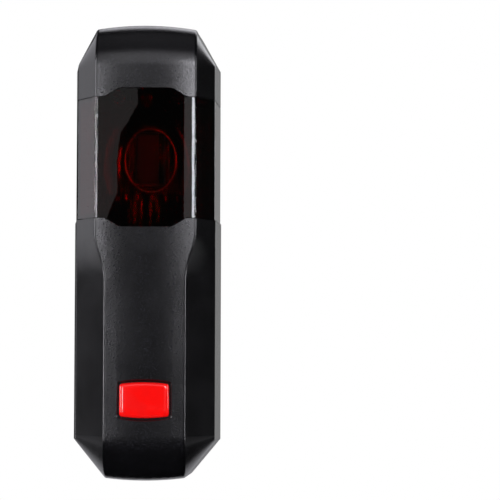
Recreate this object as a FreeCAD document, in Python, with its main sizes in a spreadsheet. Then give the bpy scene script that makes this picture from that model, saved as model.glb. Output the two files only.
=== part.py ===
"""Slim wall-mounted photocell for a gate beam, one unit of a matched pair.

A column-shaped housing of three shells (top cap, smoked window, front cover) closes on a flat
rear base. Behind the window a lens head turns on a ribbed stem, so that the beam can be aimed
to either side. The terminal board sits below it, behind the front cover.

Frame in millimetres: X to the right, Z up, the wall at Y = 0 and the front towards -Y. The
origin lies on the wall face at mid-height, in the middle of the four wall holes.
"""

import FreeCAD, Part
import math
import os
import re
import Sketcher

DIMENSIONS = {
    # Column housing: overall size and the cross-section that runs up the front. The width is
    # measured at the back of the shells, and the sides lean in from there to the shoulders.
    "body_width": 44.5,
    "side_lean": 1.75,
    "body_height": 135,
    "front_depth": 36.3,
    "band_upper": 29.6,
    "band_lower": 23.4,
    "chamfer_depth": 11.6,
    "crown_radius": 90,
    "end_radius": 13.4,
    "corner_flare": 1.8,
    "edge_round": 1.1,
    "shoulder_round": 0.7,
    # How far an inset skin draws in the band's edge and sinks the shoulder, per millimetre.
    "band_draw": 0.5,
    "shoulder_draw": 0.3,
    # Height range of the S-curve in which the front band narrows.
    "sweep_top": 6.1,
    "sweep_bottom": -8.9,
    # Shells, seams and the notched tongue of the window.
    "shell_wall": 2,
    "window_step": 0.3,
    "cover_back": 4.4,
    "column_foot": 4,
    "seam_low": 9.5,
    "seam_high": 44.65,
    "seam_gap": 0.25,
    "notch_mouth": 24,
    "notch_floor": 15.4,
    "notch_depth": 2.5,
    "notch_round": 2.2,
    "lip_wall": 1.1,
    "lip_gap": 0.1,
    "lip_root": 1.2,
    "lip_reach": 1.8,
    "lip_back": 9,
    # Badge and its recess on the front cover.
    "badge_height": -43.55,
    "badge_width": 14.5,
    "badge_side": 9.4,
    "badge_bow": 0.5,
    "badge_dome": 62,
    "badge_rise": 0.45,
    "badge_round": 0.5,
    "badge_edge": 1.1,
    "recess_width": 15.4,
    "recess_side": 10.2,
    "recess_round": 1,
    "recess_depth": 1.1,
    "recess_flare": 45,
    "flare_depth": 0.55,
    # Rear base: a tray with a rim that nests in the shells, and a seal around it.
    "base_inset": 0.5,
    "base_thick": 4,
    "floor_thick": 2,
    "seal_outer": 1,
    "seal_inner": 2,
    "seal_play": 0.1,
    "seal_seat": 2.8,
    "rim_outer": 3,
    "rim_inner": 4.2,
    "rim_front": 8,
    # Wall holes and cable entry.
    "wall_spacing_x": 20,
    "wall_spacing_z": 114,
    "wall_hole": 2.25,
    "wall_boss": 4.5,
    "cable_height": -50,
    "cable_hole": 6,
    "cable_bore": 3.1,
    "cable_flange": 7.5,
    "cable_collar": 7.4,
    "grommet_back": 0.3,
    "grommet_front": 5.6,
    # Screws that hold the shells to the base.
    "cap_screw_height": 60,
    "cap_boss": 3.2,
    "cap_boss_front": 16,
    "cap_rib": 1,
    "cover_screw_depth": 13,
    "cover_boss": 4.5,
    "cover_boss_top": -63.2,
    "cover_block_low": -62.9,
    "cover_block_high": -57.6,
    "case_head": 2.75,
    "case_head_tall": 2.1,
    "case_shank": 1.45,
    "screw_play": 0.2,
    "thread_play": 0.05,
    # Circuit board and what it carries.
    "board_width": 32,
    "board_corner": 1.5,
    "board_low": -40,
    "board_high": -5,
    "board_back": 6,
    "board_front": 7.6,
    "post_x": 13.4,
    "post_low": -37,
    "post_high": -8,
    "post_size": 2.6,
    "peg_size": 1.1,
    "small_head": 2,
    "small_head_tall": 1.5,
    "small_shank": 1,
    "terminal_pitch": 5.08,
    "terminal_low": -39.6,
    "terminal_high": -29.6,
    "terminal_front": 19.6,
    "terminal_step": 13.5,
    "well_size": 1.95,
    "well_floor": 15.4,
    "peg_play": 0.1,
    "clamp_tall": 1.2,
    "clamp_shank": 1.3,
    "relay_left": -15.2,
    "relay_right": -0.4,
    "relay_low": -28.2,
    "relay_high": -10.2,
    "relay_front": 22.8,
    "relay_round": 0.8,
    "capacitor_x": 6.4,
    "capacitor_z": -15.6,
    "capacitor_size": 4,
    "capacitor_tall": 11.5,
    "chip_x": 5.4,
    "chip_z": -24.4,
    "chip_size": 5,
    "chip_tall": 1.4,
    "mark_inset": 0.9,
    "mark_size": 0.4,
    "mark_depth": 0.15,
    "led_x": 13.2,
    "led_z": -14,
    "led_size": 1.5,
    "header_x": 12.6,
    "header_z": -23,
    "header_half": 1.25,
    "header_tall": 2.5,
    "pin_tall": 7.5,
    "pin_pitch": 2.54,
    "pin_size": 0.64,
    "connector_z": -7.6,
    "connector_front": 12.6,
    # Optics: the turning axis, the barrel-shaped head and what it holds.
    "axis_depth": 20.7,
    "head_turn": 8,
    "lens_height": 26.4,
    "belly_height": 25.5,
    "head_low": 16.5,
    "head_high": 43,
    "head_belly": 12.8,
    "head_foot": 11.1,
    "head_crown": 4.8,
    "head_flat": 30.7,
    "head_round": 0.8,
    "lens_back": 28.3,
    "lens_rim": 30.3,
    "lens_tip": 31.5,
    "lens_gap": 0.05,
    "oval_across": 3.42,
    "oval_rise": 2.8,
    "oval_radius": 6.2,
    "ring_front": 31.1,
    "ring_wide": 0.5,
    "ring_round": 0.17,
    "baffle_back": 23.2,
    "baffle_half": 5.8,
    "baffle_low": 19.2,
    "baffle_high": 35.4,
    "baffle_rail": 0.6,
    "ridge_crest": 4.2,
    "ridge_root": 4.8,
    "sensor_half": 9.6,
    "sensor_low": 20.2,
    "sensor_high": 34.8,
    "sensor_back": 19.3,
    "diode_half": 3.2,
    "diode_low": 20.4,
    "diode_high": 34.6,
    "diode_front": 22.9,
    "diode_round": 0.4,
    "cavity_low": 18.9,
    "cavity_high": 36.5,
    "cavity_front": 26.8,
    "cavity_size": 10.7,
    "head_screw_x": 4.5,
    "head_screw_z": 39,
    "head_screw_seat": 15.4,
    # Ribbed stem, its bearing and the bracket that carries the head.
    "stem_low": -4,
    "stem_journal": 4,
    "stem_rib": 6,
    "stem_groove": 5.2,
    "stem_pitch": 1.66,
    "stem_shoulder": 1.75,
    "stem_collar": 9.5,
    "collar_low": 14.9,
    "collar_high": 16.4,
    "neck_size": 4,
    "tang_size": 5.6,
    "tang_low": 17.6,
    "lead_bore": 1.6,
    "lead_size": 1,
    "running_gap": 0.07,
    "washer_size": 6.2,
    "washer_top": 1.6,
    "clip_seat": 3.3,
    "clip_size": 5.6,
    "clip_low": -2.95,
    "clip_high": -2.25,
    "clip_gap": 1.9,
    "bracket_back": 5.6,
    "bracket_front": 7.6,
    "bracket_half": 8,
    "ear_half": 12.6,
    "ear_low": 43,
    "ear_high": 51,
    "shelf_low": -2,
    "shelf_high": 1,
    "arm_low": 44.6,
    "arm_high": 46.8,
    "arm_half": 5,
    "gusset_front": 14,
    "gusset_high": 9,
    "gusset_wall": 1.4,
    "bracket_screw_x": 9.1,
    "bracket_screw_z": 47.5,
    "bracket_screw_low": 6,
    "bracket_post": 3.2,
    "pivot_size": 1.5,
    "pivot_low": 38.6,
}
SWEEP_STEPS = 6
RIDGES = 24
TERMINALS = 4
VERTICAL_ARC = "(body_height / 2 - end_radius)"

doc = FreeCAD.newDocument("photocell")
sheet = doc.addObject("Spreadsheet::Sheet", "dims")
for row, (alias, number) in enumerate(DIMENSIONS.items(), 1):
    sheet.set(f"A{row}", alias)
    sheet.set(f"B{row}", str(number))
    sheet.setAlias(f"B{row}", alias)
doc.recompute()
nodes = {}


def bound(text):
    """An expression in which each dimension's name points at its cell."""
    def cell(word):
        return f"dims.{word[0]}" if word[0] in DIMENSIONS else word[0]

    return re.sub(r"[a-z]\w*", cell, str(text))


def value(text):
    """The present number of such an expression."""
    return float(sheet.evalExpression(bound(text)))


def keep(name, made):
    """Mark an object as a finished piece and name it."""
    made.Label = name
    nodes[name] = made
    return made


# Sketches and features


def new_body(name):
    return doc.addObject("PartDesign::Body", name)


def sketch(body, role, offset="0", across="0", along="0"):
    """A sketch on one of the body's origin planes, moved off it and within it."""
    plane = next(item for item in body.Origin.OriginFeatures if item.Role == role)
    made = body.newObject("Sketcher::SketchObject", body.Name + "_sketch")
    made.AttachmentSupport = [(plane, "")]
    made.MapMode = "FlatFace"
    for axis, text in zip("xyz", (across, along, offset)):
        made.setExpression(f".AttachmentOffset.Base.{axis}", bound(text))
    return made


def hold(target, kind, name, text, *places):
    """Add a named dimension to a sketch and tie it to its expression."""
    number = target.addConstraint(Sketcher.Constraint(kind, *places, value(text)))
    target.renameConstraint(number, name)
    target.setExpression(f"Constraints.{name}", bound(text))


def outline(target, corners, arcs=None):
    """A closed outline through corners, counter-clockwise; arcs gives the radius of a bowed edge."""
    arcs = arcs or {}
    points = [FreeCAD.Vector(value(x), value(y), 0) for x, y in corners]
    edges = []
    for number, start in enumerate(points):
        end = points[(number + 1) % len(points)]
        if number in arcs:
            radius = value(arcs[number])
            chord = end - start
            sagitta = radius - math.sqrt(radius ** 2 - (chord.Length / 2) ** 2)
            outward = FreeCAD.Vector(chord.y, -chord.x, 0).normalize()
            curve = Part.Arc(start, (start + end) / 2 + outward * sagitta, end)
        else:
            curve = Part.LineSegment(start, end)
        edges.append(target.addGeometry(curve, False))
    for number, edge in enumerate(edges):
        following = edges[(number + 1) % len(edges)]
        target.addConstraint(Sketcher.Constraint("Coincident", edge, 2, following, 1))
    for number, (x, y) in enumerate(corners):
        hold(target, "DistanceX", f"x{edges[number]}", x, -1, 1, edges[number], 1)
        hold(target, "DistanceY", f"y{edges[number]}", y, -1, 1, edges[number], 1)
        if number in arcs:
            hold(target, "Radius", f"r{edges[number]}", arcs[number], edges[number])
    return target


def circles(target, places, radius):
    """Equal circles at the given places."""
    for x, y in places:
        centre = FreeCAD.Vector(value(x), value(y), 0)
        ring = target.addGeometry(Part.Circle(centre, FreeCAD.Vector(0, 0, 1), value(radius)), False)
        hold(target, "DistanceX", f"x{ring}", x, -1, 1, ring, 3)
        hold(target, "DistanceY", f"y{ring}", y, -1, 1, ring, 3)
        hold(target, "Radius", f"r{ring}", radius, ring)
    return target


def rectangle(left, right, low, high):
    return [(left, low), (right, low), (right, high), (left, high)]


def feature(body, kind, profile, length, reverse=False, midplane=False):
    """A pad or pocket of a sketch."""
    made = body.newObject(f"PartDesign::{kind}", f"{body.Name}_{kind}")
    made.Profile = profile
    made.setExpression("Length", bound(length))
    made.Reversed = reverse
    if midplane:
        made.SideType = "Symmetric"
    doc.recompute()
    return made


def pad(body, profile, length, **options):
    return feature(body, "Pad", profile, length, **options)


def pocket(body, profile, length, **options):
    """A pocket that is known to have cut something."""
    before = body.Shape.Volume
    made = feature(body, "Pocket", profile, length, **options)
    if body.Shape.Volume > before - 0.01:
        raise ValueError(f"{made.Name} cuts nothing")
    return made


def turned(name, axis, corners, arcs=None, across="0", along="0", offset="0"):
    """A body of revolution: about the vertical for (radius, z) corners, or about Y for (y, radius)."""
    body = new_body(name)
    profile = outline(sketch(body, "YZ_Plane", offset, across, along), corners, arcs)
    made = body.newObject("PartDesign::Revolution", f"{name}_turn")
    made.Profile = profile
    made.ReferenceAxis = (profile, [axis])
    made.Angle = 360
    doc.recompute()
    return body


def round_edges(body, radius, chosen):
    """Fillet the edges of the body's present shape for which chosen(edge, its midpoint) holds."""
    tip = body.Tip
    names = []
    for number, edge in enumerate(tip.Shape.Edges, 1):
        middle = edge.valueAt((edge.FirstParameter + edge.LastParameter) / 2)
        if chosen(edge, middle):
            names.append(f"Edge{number}")
    made = body.newObject("PartDesign::Fillet", f"{body.Name}_round")
    made.Base = (tip, names)
    made.setExpression("Radius", bound(radius))
    doc.recompute()
    return made


def runs_deep(edge):
    """Whether an edge runs from the front towards the wall."""
    return abs(edge.Vertexes[0].Y - edge.Vertexes[-1].Y) > 1


# Primitives and booleans


def box(name, low, high):
    """A block between two corners."""
    made = doc.addObject("Part::Box", name)
    for size, start, end in zip(("Length", "Width", "Height"), low, high):
        made.setExpression(size, bound(f"({end}) - ({start})"))
    place(made, low)
    return made


def place(made, base, direction=(0, 0, 1)):
    """Put an object's local origin at base and turn its local Z along direction."""
    made.Placement.Rotation = FreeCAD.Rotation(FreeCAD.Vector(0, 0, 1), FreeCAD.Vector(*direction))
    for axis, text in zip("xyz", base):
        made.setExpression(f".Placement.Base.{axis}", bound(text))
    return made


def rod(name, base, direction, radius, length):
    """A cylinder from base along direction."""
    made = doc.addObject("Part::Cylinder", name)
    made.setExpression("Radius", bound(radius))
    made.setExpression("Height", bound(length))
    return place(made, base, direction)


def fused(name, *parts):
    made = doc.addObject("Part::MultiFuse", name)
    made.Shapes = list(parts)
    made.Refine = True
    return made


def cut(name, base, *tools):
    made = doc.addObject("Part::Cut", name)
    made.Base = base
    made.Tool = tools[0] if len(tools) == 1 else fused(f"{name}_tools", *tools)
    made.Refine = True
    return made


def common(name, base, tool):
    made = doc.addObject("Part::Common", name)
    made.Base = base
    made.Tool = tool
    made.Refine = True
    return made


def screw(name, top, direction, head, head_tall, shank, length):
    """A pan-head screw whose head ends at top, with a cross recess."""
    neck = f"-({head_tall})"
    tip = f"-({head_tall}) - ({length})"
    blank = fused(
        f"{name}_blank",
        rod(f"{name}_head", ("0", "0", neck), (0, 0, 1), head, head_tall),
        rod(f"{name}_shank", ("0", "0", tip), (0, 0, 1), shank, length),
    )
    reach = f"({head}) * 0.6"
    half = f"({head}) * 0.13"
    low = f"-({head_tall}) * 0.55"
    slot = box(f"{name}_slot", (f"-{reach}", f"-{half}", low), (reach, half, "1"))
    cross = box(f"{name}_cross", (f"-{half}", f"-{reach}", low), (half, reach, "1"))
    return keep(name, place(cut(name, blank, slot, cross), top, direction))


# The column's form: a crowned front band, a chamfer on each side of it and flat sides. The same
# section is rolled over a quarter turn at each end, so that the chamfers close the corners.


def section(band, inset):
    """Half widths of side and band, their depths behind the front, and the chamfer's steepness.

    The side is taken at the back of the shells, and the chamfer is carried on to meet it there.
    """
    side = f"(body_width / 2 - ({inset}))"
    edge = f"({band} / 2 - band_draw * ({inset}))"
    sag = f"({inset} + {edge} ^ 2 / (2 * crown_radius))"
    steep = f"((chamfer_depth + shoulder_draw * ({inset}) - {sag}) / ({side} - side_lean - {edge}))"
    shoulder = f"({sag} + {steep} * ({side} - {edge}))"
    return side, edge, sag, shoulder, steep


def plan_corners(band, inset):
    """The section seen from above, between the back of the shells and the front."""
    side, edge, sag, shoulder, _ = section(band, inset)
    return [
        (f"-{side}", "-cover_back"),
        (f"-{side}", f"{shoulder} - front_depth"),
        (f"-{edge}", f"{sag} - front_depth"),
        (edge, f"{sag} - front_depth"),
        (side, f"{shoulder} - front_depth"),
        (side, "-cover_back"),
    ]


def crowned(inset, edge):
    return {edge: f"crown_radius - ({inset})"}


def straight_run(body, band, inset, low, high):
    """The section drawn up between two heights."""
    profile = sketch(body, "XY_Plane", low)
    outline(profile, plan_corners(band, inset), crowned(inset, 2))
    pad(body, profile, f"({high}) - ({low})")


def rolled_end(body, band, inset, sign):
    """The section rolled over the top (sign +1) or the bottom (-1), and carried back to the base."""
    side, edge, sag, shoulder, steep = section(band, inset)
    reach = f"({edge} + (end_radius - {sag}) / {steep})"
    front = f"{sag} - end_radius"
    profile = sketch(body, "XY_Plane", f"{sign} * {VERTICAL_ARC}", along="end_radius - front_depth")
    fan = [(f"-{reach}", "0"), (f"-{edge}", front), (edge, front), (reach, "0")]
    outline(profile, fan, crowned(inset, 1))
    roll = body.newObject("PartDesign::Revolution", f"{body.Name}_roll")
    roll.Profile = profile
    roll.ReferenceAxis = (profile, ["H_Axis"])
    roll.Angle = 90
    roll.Reversed = sign > 0
    doc.recompute()
    rear = sketch(body, "XZ_Plane", "cover_back")
    outline(rear, end_corners(band, inset, sign, "corner_flare"), crowned(inset, 2))
    fore = sketch(body, "XZ_Plane", "front_depth - end_radius")
    outline(fore, end_corners(band, inset, sign, "0"), crowned(inset, 2))
    doc.recompute()
    block = body.newObject("PartDesign::AdditiveLoft", f"{body.Name}_end")
    block.Profile = rear
    block.Sections = [fore]
    block.Ruled = True
    doc.recompute()


def end_corners(band, inset, sign, flare):
    """The column's end seen from the front, its corner chamfers moved outward by a flare."""
    side, edge, sag, shoulder, steep = section(band, inset)
    wide = f"({edge} + {flare})"
    foot = f"{sign} * (body_height / 2 - {shoulder} - 2)"
    knee = f"{sign} * (body_height / 2 - {shoulder} + {steep} * {flare})"
    peak = f"{sign} * (body_height / 2 - ({inset}) - {wide} ^ 2 / (2 * crown_radius))"
    return [
        (f"{sign} * {side}", foot),
        (f"{sign} * {side}", knee),
        (f"{sign} * {wide}", peak),
        (f"-({sign}) * {wide}", peak),
        (f"-({sign}) * {side}", knee),
        (f"-({sign}) * {side}", foot),
    ]


def lean_sides(body, inset):
    """Plane both sides so that they lean in from the back of the shells towards the front."""
    side = f"(body_width / 2 - ({inset}))"
    slope = "side_lean / (front_depth - chamfer_depth - cover_back)"
    front, back = "-front_depth - 1", "1 - cover_back"
    near = f"({side} - {slope} * (front_depth + 1 - cover_back))"
    far = f"({side} + {slope})"
    clear = f"({side} + 5)"
    waste = sketch(body, "XY_Plane", "body_height")
    outline(waste, [(near, front), (clear, front), (clear, back), (far, back)])
    outline(waste, [(f"-{clear}", front), (f"-{near}", front), (f"-{far}", back), (f"-{clear}", back)])
    pocket(body, waste, "2 * body_height")


def soften(body):
    """Round the band's edges and, less, the shoulders between chamfer and side."""
    border = value("body_width / 2 - side_lean - 1.5")

    def folded(edge):
        faces = body.Tip.Shape.ancestorsOfType(edge, Part.Face)
        middle = edge.valueAt((edge.FirstParameter + edge.LastParameter) / 2)
        normals = [face.normalAt(*face.Surface.parameter(middle)) for face in faces]
        return len(normals) == 2 and 20 < math.degrees(normals[0].getAngle(normals[1])) < 80

    round_edges(body, "edge_round", lambda edge, middle: folded(edge) and abs(middle.x) < border)
    round_edges(body, "shoulder_round", lambda edge, middle: folded(edge) and abs(middle.x) > border)


def upper_form(name, inset):
    """The column above the front cover, solid, with its skin drawn in by inset."""
    body = new_body(name)
    straight_run(body, "band_upper", inset, "column_foot", VERTICAL_ARC)
    rolled_end(body, "band_upper", inset, 1)
    lean_sides(body, inset)
    return body


def lower_form(name, inset):
    """The front cover's column, solid: a narrow band below, swept out to the wide one above."""
    body = new_body(name)
    straight_run(body, "band_lower", inset, f"-{VERTICAL_ARC}", "sweep_bottom")
    rolled_end(body, "band_lower", inset, -1)
    profiles = []
    for step in range(SWEEP_STEPS + 1):
        share = step / SWEEP_STEPS
        height = f"sweep_bottom + {share} * (sweep_top - sweep_bottom)"
        band = f"(band_lower + (band_upper - band_lower) * (1 - cos(180 deg * {share})) / 2)"
        profile = sketch(body, "XY_Plane", height)
        outline(profile, plan_corners(band, inset), crowned(inset, 2))
        profiles.append(profile)
    doc.recompute()
    sweep = body.newObject("PartDesign::AdditiveLoft", f"{name}_sweep")
    sweep.Profile = profiles[0]
    sweep.Sections = profiles[1:]
    doc.recompute()
    straight_run(body, "band_upper", inset, "sweep_top", "seam_low")
    lean_sides(body, inset)
    return body


def seam(height, sink):
    """A seam's corners from left to right, with the notch sunk by sink in the middle."""
    return [
        ("-body_width", height),
        ("-notch_mouth / 2", height),
        ("-notch_floor / 2", f"{height} + {sink}"),
        ("notch_floor / 2", f"{height} + {sink}"),
        ("notch_mouth / 2", height),
        ("body_width", height),
    ]


def seam_block(name, below, above):
    """A block of the column's full depth between two seams, with the notch corners rounded."""
    body = new_body(name)
    profile = outline(sketch(body, "XZ_Plane", "0"), below + above[::-1])
    pad(body, profile, "front_depth + 5")
    mouth = value("notch_mouth / 2") + 0.1
    round_edges(body, "notch_round", lambda edge, middle: abs(middle.x) < mouth and runs_deep(edge))
    return body


def silhouette(inset):
    """The column's outline seen from the front, and its two bowed edges."""
    top = end_corners("band_upper", inset, 1, "corner_flare")[1:5]
    foot = end_corners("band_lower", inset, -1, "corner_flare")[1:5]
    corners = foot[3:] + top + foot[:3]
    bow = f"crown_radius - ({inset})"
    return corners, {2: bow, 6: bow}


def mirrored(x, z):
    """The same place on the right and on the left."""
    return [(x, z), (f"-({x})", z)]


# Rear base: a shallow tray whose bosses and posts carry everything inside

wall_places = mirrored("wall_spacing_x / 2", "wall_spacing_z / 2")
wall_places += mirrored("wall_spacing_x / 2", "-wall_spacing_z / 2")
post_places = mirrored("post_x", "post_low") + mirrored("post_x", "post_high")
peg_places = [("-post_x", "post_high"), ("post_x", "post_low")]
board_screw_places = [("post_x", "post_high"), ("-post_x", "post_low")]
bracket_places = mirrored("bracket_screw_x", "bracket_screw_z") + [("0", "bracket_screw_low")]
cable_place = [("0", "cable_height")]
cap_screw_place = [("0", "cap_screw_height")]
axis_place = [("0", "-axis_depth")]

base = new_body("rear_base")
pad(base, outline(sketch(base, "XZ_Plane"), *silhouette("base_inset")), "base_thick")
tray = outline(sketch(base, "XZ_Plane", "base_thick"), *silhouette("rim_inner"))
pocket(base, tray, "base_thick - floor_thick")
rim = outline(sketch(base, "XZ_Plane", "base_thick"), *silhouette("rim_outer"))
outline(rim, *silhouette("rim_inner"))
pad(base, rim, "rim_front - base_thick")
groove = outline(sketch(base, "XZ_Plane", "base_thick"), *silhouette("seal_outer - seal_play"))
outline(groove, *silhouette("seal_inner + seal_play"))
pocket(base, groove, "base_thick - seal_seat")
for places, radius, top in (
    (wall_places, "wall_boss", "base_thick"),
    (cap_screw_place, "cap_boss + 0.8", "base_thick"),
    (cable_place, "cable_collar", "base_thick"),
    (post_places, "post_size", "board_back"),
    (bracket_places, "bracket_post", "bracket_back"),
    (peg_places, "peg_size", "board_front"),
):
    bosses = circles(sketch(base, "XZ_Plane", "floor_thick / 2"), places, radius)
    pad(base, bosses, f"{top} - floor_thick / 2")
block = rectangle("-cover_boss", "cover_boss", "cover_block_low", "cover_block_high")
block_foot = outline(sketch(base, "XZ_Plane", "floor_thick / 2"), block)
pad(base, block_foot, "cover_screw_depth + cover_boss - floor_thick / 2")
for places, radius, top, depth in (
    (wall_places, "wall_hole", "base_thick", "base_thick"),
    (cable_place, "cable_hole", "base_thick", "base_thick"),
    (cap_screw_place, "case_shank + thread_play", "base_thick", "base_thick"),
    (cap_screw_place, "case_head + screw_play", "case_head_tall + 0.3", "case_head_tall + 0.3"),
    (board_screw_places, "small_shank + thread_play", "board_back", "board_back - 1"),
    (bracket_places, "small_shank + thread_play", "bracket_back", "bracket_back - 1"),
):
    holes = circles(sketch(base, "XZ_Plane", top), places, radius)
    pocket(base, holes, depth)
screw_place = [("0", "-cover_screw_depth")]
bore = circles(sketch(base, "XY_Plane", "cover_block_high"), screw_place, "case_shank + thread_play")
pocket(base, bore, "cover_block_high - cover_block_low")
keep("rear_base", base)

seal = new_body("base_seal")
ring = outline(sketch(seal, "XZ_Plane", "seal_seat"), *silhouette("seal_outer"))
outline(ring, *silhouette("seal_inner"))
pad(seal, ring, "cover_back - seal_seat")
keep("base_seal", seal)

# Cable entry: a grommet pressed into the base, its bore open to the wall

grommet = turned(
    "cable_grommet",
    "H_Axis",
    [
        ("-grommet_back", "cable_bore"),
        ("-grommet_back", "cable_hole"),
        ("-base_thick", "cable_hole"),
        ("-base_thick", "cable_flange"),
        ("-grommet_front", "cable_flange - 0.6"),
        ("-grommet_front", "cable_bore"),
    ],
    along="cable_height",
)
keep("cable_grommet", grommet)

# Circuit board, held by two screws and two pegs

board = new_body("circuit_board")
blank = rectangle("-board_width / 2", "board_width / 2", "board_low", "board_high")
pad(board, outline(sketch(board, "XZ_Plane", "board_back"), blank), "board_front - board_back")
peg_holes = circles(sketch(board, "XZ_Plane", "board_front"), post_places, "peg_size + peg_play")
pocket(board, peg_holes, "board_front - board_back")
board_side = value("board_width / 2") - 0.01
round_edges(board, "board_corner", lambda edge, middle: abs(middle.x) > board_side and edge.Length < 2)
keep("circuit_board", board)
for name, (x, z) in zip(("board_screw_upper", "board_screw_lower"), board_screw_places):
    top = (x, "-board_front - small_head_tall", z)
    screw(name, top, (0, -1, 0), "small_head", "small_head_tall", "small_shank", "board_front - 2")

# Terminal block: stepped, with a square wire mouth below and a screw well in front of each pole

terminal_span = f"terminal_pitch * {TERMINALS}"
pole_places = [f"terminal_pitch * ({number} - {(TERMINALS - 1) / 2})" for number in range(TERMINALS)]
terminal = new_body("terminal_block")
profile = [
    ("-board_front", "terminal_low"),
    ("-board_front", "terminal_high"),
    ("-terminal_step", "terminal_high"),
    ("-terminal_front", "terminal_high - 2.4"),
    ("-terminal_front", "terminal_low + 1"),
    ("-terminal_front + 1", "terminal_low"),
]
pad(terminal, outline(sketch(terminal, "YZ_Plane"), profile), terminal_span, midplane=True)
mouths = sketch(terminal, "XY_Plane", "terminal_low")
for x in pole_places:
    outline(mouths, rectangle(f"{x} - 1.8", f"{x} + 1.8", "-board_front - 6", "-board_front - 2.2"))
pocket(terminal, mouths, "6", reverse=True)
well_place = "(terminal_low + terminal_high) / 2 - 0.8"
well_places = [(x, well_place) for x in pole_places]
wells = circles(sketch(terminal, "XZ_Plane", "terminal_front"), well_places, "well_size")
pocket(terminal, wells, "terminal_front - well_floor")
keep("terminal_block", terminal)
for number, x in enumerate(pole_places, 1):
    top = (x, "-well_floor - 2 * clamp_tall", well_place)
    screw(
        f"terminal_screw_{number}",
        top,
        (0, -1, 0),
        "well_size - 0.1",
        "clamp_tall",
        "clamp_shank",
        "clamp_tall",
    )

# Components on the board

relay = new_body("relay")
case = rectangle("relay_left", "relay_right", "relay_low", "relay_high")
pad(relay, outline(sketch(relay, "XZ_Plane", "board_front"), case), "relay_front - board_front")
relay_foot = -value("board_front") - 1
round_edges(relay, "relay_round", lambda edge, middle: middle.y < relay_foot)
keep("relay", relay)

capacitor = turned(
    "filter_capacitor",
    "H_Axis",
    [
        ("-board_front", "0"),
        ("-board_front", "capacitor_size"),
        ("-board_front - 1.2", "capacitor_size"),
        ("-board_front - 1.6", "capacitor_size - 0.4"),
        ("-board_front - 2", "capacitor_size"),
        ("-board_front - capacitor_tall + 0.5", "capacitor_size"),
        ("-board_front - capacitor_tall", "capacitor_size - 0.5"),
        ("-board_front - capacitor_tall", "0"),
    ],
    along="capacitor_z",
    offset="capacitor_x",
)
keep("filter_capacitor", capacitor)

chip = new_body("microcontroller")
package = rectangle(
    "chip_x - chip_size / 2",
    "chip_x + chip_size / 2",
    "chip_z - chip_size / 2",
    "chip_z + chip_size / 2",
)
pad(chip, outline(sketch(chip, "XZ_Plane", "board_front"), package), "chip_tall")
mark = [("chip_x - chip_size / 2 + mark_inset", "chip_z + chip_size / 2 - mark_inset")]
pocket(chip, circles(sketch(chip, "XZ_Plane", "board_front + chip_tall"), mark, "mark_size"), "mark_depth")
keep("microcontroller", chip)

led = turned(
    "alignment_led",
    "H_Axis",
    [
        ("-board_front", "0"),
        ("-board_front", "led_size + 0.35"),
        ("-board_front - 0.9", "led_size + 0.35"),
        ("-board_front - 0.9", "led_size"),
        ("-board_front - 2.8", "led_size"),
        ("-board_front - 2.8 - led_size", "0"),
    ],
    {4: "led_size"},
    along="led_z",
    offset="led_x",
)
keep("alignment_led", led)

header = new_body("sync_header")
rail = rectangle(
    "header_x - header_half",
    "header_x + header_half",
    "header_z - pin_pitch * 1.5",
    "header_z + pin_pitch * 1.5",
)
pad(header, outline(sketch(header, "XZ_Plane", "board_front"), rail), "header_tall")
pins = sketch(header, "XZ_Plane", "board_front + 1")
for step in (-1, 0, 1):
    middle = f"header_z + {step} * pin_pitch"
    half = "pin_size / 2"
    pin = rectangle(f"header_x - {half}", f"header_x + {half}", f"{middle} - {half}", f"{middle} + {half}")
    outline(pins, pin)
pad(header, pins, "pin_tall")
keep("sync_header", header)
shunt = box(
    "shunt_block",
    ("header_x - 1.2", "-board_front - 8.7", "header_z - 1.2"),
    ("header_x + 1.2", "-board_front - 2.6", "header_z + pin_pitch + 1.2"),
)
keep("sync_jumper", cut("sync_jumper", shunt, header))

plug = new_body("lead_connector")
shell = rectangle("-3", "3", "connector_z - 2", "connector_z + 2")
pad(plug, outline(sketch(plug, "XZ_Plane", "board_front"), shell), "connector_front - board_front")
keyway = rectangle("-1.2", "1.2", "connector_z + 1.4", "connector_z + 2")
pocket(plug, outline(sketch(plug, "XZ_Plane", "connector_front"), keyway), "3")
keep("lead_connector", plug)

# Optics bracket: a back plate with ears, a shelf with the stem's bearing and an arm for the pivot

bracket = new_body("optics_bracket")
plate = [
    ("-bracket_half", "shelf_low"),
    ("bracket_half", "shelf_low"),
    ("bracket_half", "ear_low - 4"),
    ("ear_half", "ear_low"),
    ("ear_half", "ear_high"),
    ("-ear_half", "ear_high"),
    ("-ear_half", "ear_low"),
    ("-bracket_half", "ear_low - 4"),
]
pad(bracket, outline(sketch(bracket, "XZ_Plane", "bracket_back"), plate), "bracket_front - bracket_back")
shelves = (("bracket_half", "shelf_low", "shelf_high"), ("arm_half", "arm_low", "arm_high"))
for half, low, high in shelves:
    tongue = rectangle(f"-{half}", half, "-axis_depth", "-bracket_back")
    pad(bracket, outline(sketch(bracket, "XY_Plane", low), tongue), f"{high} - ({low})")
    pad(bracket, circles(sketch(bracket, "XY_Plane", low), axis_place, half), f"{high} - ({low})")
gusset = [
    ("-bracket_front", "shelf_high"),
    ("-bracket_front", "gusset_high"),
    ("-gusset_front", "shelf_high"),
]
for side in ("bracket_half - gusset_wall", "-bracket_half"):
    pad(bracket, outline(sketch(bracket, "YZ_Plane", side), gusset), "gusset_wall")
bearing = circles(sketch(bracket, "XY_Plane", "shelf_high"), axis_place, "stem_journal + running_gap")
pocket(bracket, bearing, "shelf_high - shelf_low")
pivot_seat = circles(sketch(bracket, "XY_Plane", "arm_high"), axis_place, "pivot_size")
pocket(bracket, pivot_seat, "arm_high - arm_low")
screw_holes = circles(sketch(bracket, "XZ_Plane", "bracket_front"), bracket_places, "small_shank + 0.1")
pocket(bracket, screw_holes, "bracket_front - bracket_back")
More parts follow.
